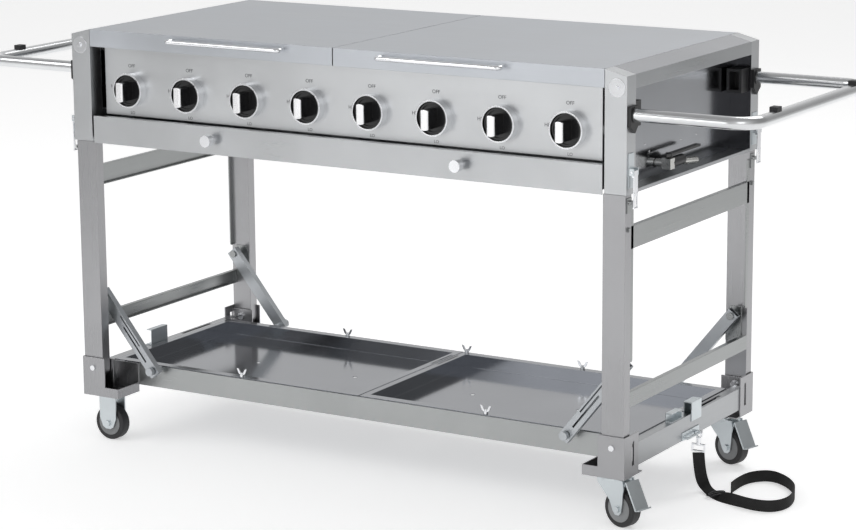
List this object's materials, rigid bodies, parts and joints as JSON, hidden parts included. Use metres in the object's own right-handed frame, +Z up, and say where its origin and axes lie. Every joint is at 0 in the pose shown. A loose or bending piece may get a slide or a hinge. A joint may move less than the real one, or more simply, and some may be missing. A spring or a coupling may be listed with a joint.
{
  "type": "flat top griddle",
  "caption": "Mobile gas flat top griddle on a folding leg stand with casters, lift-off covers, side handles and a drip drawer",
  "frame": {"origin": "on the floor, under the middle of the overall box of everything but the pull strap", "axes": "+X to the operator's right along the length, +Y away from the operator, +Z up; the controls face -Y"},
  "size_m": [1.8674, 0.6334, 0.92],
  "materials": {
    "stainless": "satin brushed stainless sheet and tube",
    "stainless_polished": "bright rolled stainless, lightly polished",
    "zinc": "zinc plated pressed steel, smooth",
    "chrome": "polished chrome plate",
    "knob": "dark moulded phenolic with a metallic face",
    "black_plastic": "fine matte moulding",
    "webbing": "woven polyester webbing",
    "wheel": "moulded rubber tyre on a grey hub",
    "griddle_steel": "seasoned rolled steel plate",
    "gas_fittings": "plated brass gas fittings"
  },
  "bodies": {
    "base": {"base_side_rails": "stainless", "base_cross_rails": "stainless", "corner_brackets": "stainless", "leg_pivot_bolts": "chrome", "shelf_tray_left": "stainless_polished", "shelf_tray_right": "stainless_polished", "shelf_wing_nuts": "chrome", "rail_fittings": "stainless", "caster_plates": "zinc", "pull_strap": "webbing", "strap_snap_hook": "chrome", "strap_slider": "black_plastic", "caster_fork_front_left": "zinc", "caster_fork_rear_left": "zinc"},
    "head": {"head_corner_posts": "stainless", "head_side_shells": "stainless", "head_rear_panel": "stainless", "head_heat_shield": "stainless", "control_panel": "stainless", "knob_bezels": "chrome", "griddle_plates": "griddle_steel", "burners": "stainless", "gas_train": "gas_fittings", "handle_sockets": "black_plastic", "post_bosses": "chrome", "latch_bases": "zinc"},
    "drip_drawer": {"drip_drawer": "stainless"},
    "gas_cock_lever": {"gas_cock_lever": "black_plastic"},
    "cover_left": {"cover_left": "stainless"},
    "side_handle_left": {"side_handle_left": "stainless"},
    "cover_right": {"cover_right": "stainless"},
    "side_handle_right": {"side_handle_right": "stainless"},
    "knob_1": {"knob_1": "knob"},
    "knob_2": {"knob_2": "knob"},
    "knob_3": {"knob_3": "knob"},
    "knob_4": {"knob_4": "knob"},
    "knob_5": {"knob_5": "knob"},
    "knob_6": {"knob_6": "knob"},
    "knob_7": {"knob_7": "knob"},
    "knob_8": {"knob_8": "knob"},
    "latch_lever_front_left": {"latch_lever_front_left": "zinc"},
    "latch_lever_rear_left": {"latch_lever_rear_left": "zinc"},
    "latch_lever_front_right": {"latch_lever_front_right": "zinc"},
    "latch_lever_rear_right": {"latch_lever_rear_right": "zinc"},
    "leg_frame_left": {"legs_left": "stainless", "leg_ties_left": "stainless"},
    "brace_front_left": {"brace_front_left": "zinc"},
    "brace_rear_left": {"brace_rear_left": "zinc"},
    "leg_frame_right": {"legs_right": "stainless", "leg_ties_right": "stainless"},
    "brace_front_right": {"brace_front_right": "zinc"},
    "brace_rear_right": {"brace_rear_right": "zinc"},
    "caster_wheel_front_left": {"caster_wheel_front_left": "wheel"},
    "caster_wheel_rear_left": {"caster_wheel_rear_left": "wheel"},
    "caster_wheel_front_right": {"caster_wheel_front_right": "wheel"},
    "caster_fork_front_right": {"caster_fork_front_right": "zinc"},
    "brake_pedal_front": {"brake_pedal_front": "zinc"},
    "caster_wheel_rear_right": {"caster_wheel_rear_right": "wheel"},
    "caster_fork_rear_right": {"caster_fork_rear_right": "zinc"},
    "brake_pedal_rear": {"brake_pedal_rear": "zinc"}
  },
  "joints": [
    {"name": "head_lift", "type": "slide", "parent": "base", "child": "head", "axis": [0, 0, 1], "range_m": [0, 0.3]},
    {"name": "cover_left_lift", "type": "slide", "parent": "head", "child": "cover_left", "axis": [0, 0, 1], "range_m": [0, 0.3]},
    {"name": "side_handle_left_pull", "type": "slide", "parent": "head", "child": "side_handle_left", "axis": [-1, 0, 0], "range_m": [0, 0.06]},
    {"name": "cover_right_lift", "type": "slide", "parent": "head", "child": "cover_right", "axis": [0, 0, 1], "range_m": [0, 0.3]},
    {"name": "side_handle_right_pull", "type": "slide", "parent": "head", "child": "side_handle_right", "axis": [1, 0, 0], "range_m": [0, 0.06]},
    {"name": "drip_drawer_slide", "type": "slide", "parent": "head", "child": "drip_drawer", "axis": [0, -1, 0], "range_m": [0, 0.35]},
    {"name": "knob_1_turn", "type": "hinge", "parent": "head", "child": "knob_1", "pos_m": [-0.532, -0.25875, 0.792], "axis": [0, -1, 0], "range_deg": [0, 180]},
    {"name": "knob_2_turn", "type": "hinge", "parent": "head", "child": "knob_2", "pos_m": [-0.38, -0.25875, 0.792], "axis": [0, -1, 0], "range_deg": [0, 180]},
    {"name": "knob_3_turn", "type": "hinge", "parent": "head", "child": "knob_3", "pos_m": [-0.228, -0.25875, 0.792], "axis": [0, -1, 0], "range_deg": [0, 180]},
    {"name": "knob_4_turn", "type": "hinge", "parent": "head", "child": "knob_4", "pos_m": [-0.076, -0.25875, 0.792], "axis": [0, -1, 0], "range_deg": [0, 180]},
    {"name": "knob_5_turn", "type": "hinge", "parent": "head", "child": "knob_5", "pos_m": [0.076, -0.25875, 0.792], "axis": [0, -1, 0], "range_deg": [0, 180]},
    {"name": "knob_6_turn", "type": "hinge", "parent": "head", "child": "knob_6", "pos_m": [0.228, -0.25875, 0.792], "axis": [0, -1, 0], "range_deg": [0, 180]},
    {"name": "knob_7_turn", "type": "hinge", "parent": "head", "child": "knob_7", "pos_m": [0.38, -0.25875, 0.792], "axis": [0, -1, 0], "range_deg": [0, 180]},
    {"name": "knob_8_turn", "type": "hinge", "parent": "head", "child": "knob_8", "pos_m": [0.532, -0.25875, 0.792], "axis": [0, -1, 0], "range_deg": [0, 180]},
    {"name": "gas_cock_turn", "type": "hinge", "parent": "head", "child": "gas_cock_lever", "pos_m": [0.652, -0.06675, 0.7225], "axis": [0, 0, -1], "range_deg": [0, 90]},
    {"name": "latch_front_left_turn", "type": "hinge", "parent": "head", "child": "latch_lever_front_left", "pos_m": [-0.678, -0.26975, 0.722], "axis": [0, 1, 0], "range_deg": [0, 120]},
    {"name": "latch_rear_left_turn", "type": "hinge", "parent": "head", "child": "latch_lever_rear_left", "pos_m": [-0.678, 0.29625, 0.722], "axis": [0, 1, 0], "range_deg": [0, 120]},
    {"name": "latch_front_right_turn", "type": "hinge", "parent": "head", "child": "latch_lever_front_right", "pos_m": [0.678, -0.26975, 0.722], "axis": [0, -1, 0], "range_deg": [0, 120]},
    {"name": "latch_rear_right_turn", "type": "hinge", "parent": "head", "child": "latch_lever_rear_right", "pos_m": [0.678, 0.29625, 0.722], "axis": [0, -1, 0], "range_deg": [0, 120]},
    {"name": "leg_frame_left_fold", "type": "hinge", "parent": "base", "child": "leg_frame_left", "pos_m": [-0.642, 0.01325, 0.17], "axis": [0, 1, 0], "range_deg": [0, 90]},
    {"name": "brace_front_left_turn", "type": "hinge", "parent": "leg_frame_left", "child": "brace_front_left", "pos_m": [-0.642, -0.23425, 0.325], "axis": [0, -1, 0], "range_deg": [0, 141]},
    {"name": "brace_rear_left_turn", "type": "hinge", "parent": "leg_frame_left", "child": "brace_rear_left", "pos_m": [-0.642, 0.26075, 0.325], "axis": [0, -1, 0], "range_deg": [0, 141]},
    {"name": "leg_frame_right_fold", "type": "hinge", "parent": "base", "child": "leg_frame_right", "pos_m": [0.642, 0.01325, 0.17], "axis": [0, -1, 0], "range_deg": [0, 90]},
    {"name": "brace_front_right_turn", "type": "hinge", "parent": "leg_frame_right", "child": "brace_front_right", "pos_m": [0.642, -0.23425, 0.325], "axis": [0, 1, 0], "range_deg": [0, 141]},
    {"name": "brace_rear_right_turn", "type": "hinge", "parent": "leg_frame_right", "child": "brace_rear_right", "pos_m": [0.642, 0.26075, 0.325], "axis": [0, 1, 0], "range_deg": [0, 141]},
    {"name": "caster_front_left_roll", "type": "hinge", "parent": "base", "child": "caster_wheel_front_left", "pos_m": [-0.628, -0.24075, 0.0385], "axis": [0, 1, 0], "continuous": true},
    {"name": "caster_rear_left_roll", "type": "hinge", "parent": "base", "child": "caster_wheel_rear_left", "pos_m": [-0.628, 0.26725, 0.0385], "axis": [0, 1, 0], "continuous": true},
    {"name": "caster_front_right_swivel", "type": "hinge", "parent": "base", "child": "caster_fork_front_right", "pos_m": [0.624, -0.24075, 0.1], "axis": [0, 0, 1], "continuous": true},
    {"name": "caster_front_right_roll", "type": "hinge", "parent": "caster_fork_front_right", "child": "caster_wheel_front_right", "pos_m": [0.64729, -0.24656, 0.0385], "axis": [0.2419, 0.9703, 0], "continuous": true},
    {"name": "brake_pedal_front_press", "type": "hinge", "parent": "caster_fork_front_right", "child": "brake_pedal_front", "pos_m": [0.66378, -0.25067, 0.092], "axis": [0.2419, 0.9703, 0], "range_deg": [0, 8]},
    {"name": "caster_rear_right_swivel", "type": "hinge", "parent": "base", "child": "caster_fork_rear_right", "pos_m": [0.624, 0.26725, 0.1], "axis": [0, 0, 1], "continuous": true},
    {"name": "caster_rear_right_roll", "type": "hinge", "parent": "caster_fork_rear_right", "child": "caster_wheel_rear_right", "pos_m": [0.64707, 0.26064, 0.0385], "axis": [0.2756, 0.9613, 0], "continuous": true},
    {"name": "brake_pedal_rear_press", "type": "hinge", "parent": "caster_fork_rear_right", "child": "brake_pedal_rear", "pos_m": [0.66341, 0.25595, 0.092], "axis": [0.2756, 0.9613, 0], "range_deg": [0, 8]}
  ],
  "couplings": [
    {"joint": "brace_front_left_turn", "follows": "leg_frame_left_fold", "ratio": 1.5589},
    {"joint": "brace_rear_left_turn", "follows": "leg_frame_left_fold", "ratio": 1.5589},
    {"joint": "brace_front_right_turn", "follows": "leg_frame_right_fold", "ratio": 1.5589},
    {"joint": "brace_rear_right_turn", "follows": "leg_frame_right_fold", "ratio": 1.5589}
  ]
}
